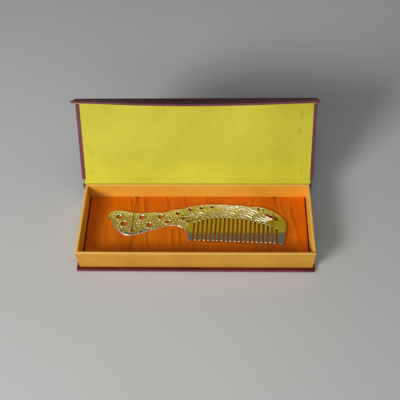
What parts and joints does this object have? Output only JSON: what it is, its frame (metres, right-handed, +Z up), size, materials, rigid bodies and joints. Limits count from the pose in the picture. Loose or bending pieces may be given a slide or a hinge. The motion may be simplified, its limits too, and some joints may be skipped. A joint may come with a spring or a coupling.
{
  "type": "silver hair comb in a hinged gift box",
  "caption": "Silver hair comb with a pierced, scaled handle and feathered back, tied on a satin pad in an open, hinged gift box with a closing flap.",
  "frame": {"origin": "middle of the base board's underside", "axes": "+X to the right along the box, the comb's teeth end on that side; +Y towards the spine and the hinge; +Z up"},
  "size_m": [0.2424, 0.1351, 0.1213],
  "materials": {
    "cover_paper": "maroon leather-grained paper over board",
    "tray_paper": "matt golden orange paper over board",
    "lining_paper": "matt lemon yellow paper",
    "satin": "wrinkled orange satin",
    "silver": "polished cast silver",
    "elastic": "braided gold elastic cord"
  },
  "bodies": {
    "box": {"base_board": "cover_paper", "spine_board": "cover_paper", "tray": "tray_paper", "pad": "satin", "comb": "silver", "tie_left": "elastic", "tie_right": "elastic"},
    "lid": {"lid_board": "cover_paper", "lid_lining": "lining_paper", "lid_strip": "lining_paper"},
    "flap": {"flap_board": "cover_paper", "flap_lining": "lining_paper"}
  },
  "joints": [
    {"name": "lid_hinge", "type": "hinge", "parent": "box", "child": "lid", "pos_m": [0, 0.04405, 0.0293], "axis": [-1, 0, 0], "range_deg": [-118.9, 60]},
    {"name": "flap_hinge", "type": "hinge", "parent": "lid", "child": "flap", "pos_m": [0, 0.08716, 0.10739], "axis": [-1, 0, 0], "range_deg": [-4.5, 85.5]}
  ]
}
